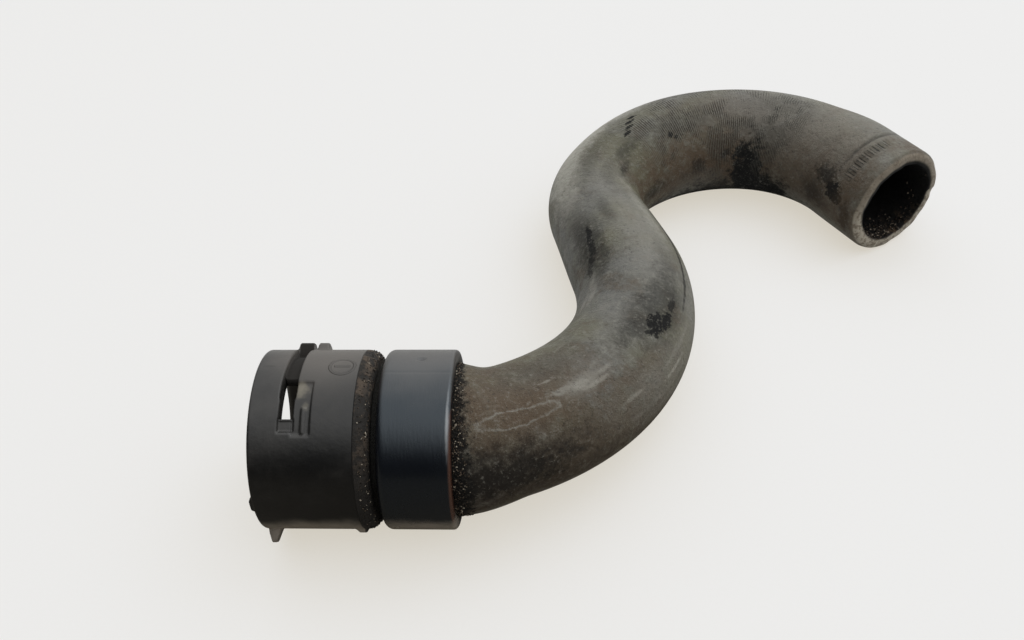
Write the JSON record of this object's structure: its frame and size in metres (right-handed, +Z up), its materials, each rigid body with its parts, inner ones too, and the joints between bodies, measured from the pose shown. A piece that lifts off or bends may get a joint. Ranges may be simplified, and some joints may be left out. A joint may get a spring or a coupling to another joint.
{
  "type": "coolant hose",
  "caption": "S-shaped moulded rubber coolant hose with a plastic quick-connect socket held by a clamp sleeve at one end and a plain cut cuff at the other.",
  "frame": {"origin": "middle of the footprint, on the surface that the hose lies on", "axes": "+X along the socket's axis from its mouth towards the hose, +Z up, +Y across, towards the far bend"},
  "size_m": [0.2306, 0.2156, 0.053],
  "materials": {
    "hose_rubber": "weathered grey-black rubber, dusty and scuffed",
    "socket_plastic": "black moulded plastic, greyed on top",
    "sleeve_plastic": "satin black plastic",
    "seal_rubber": "smooth black rubber"
  },
  "bodies": {
    "root": {"hose": "hose_rubber", "socket_body": "socket_plastic", "clamp_sleeve": "sleeve_plastic", "o_ring_seal": "seal_rubber"}
  },
  "joints": []
}
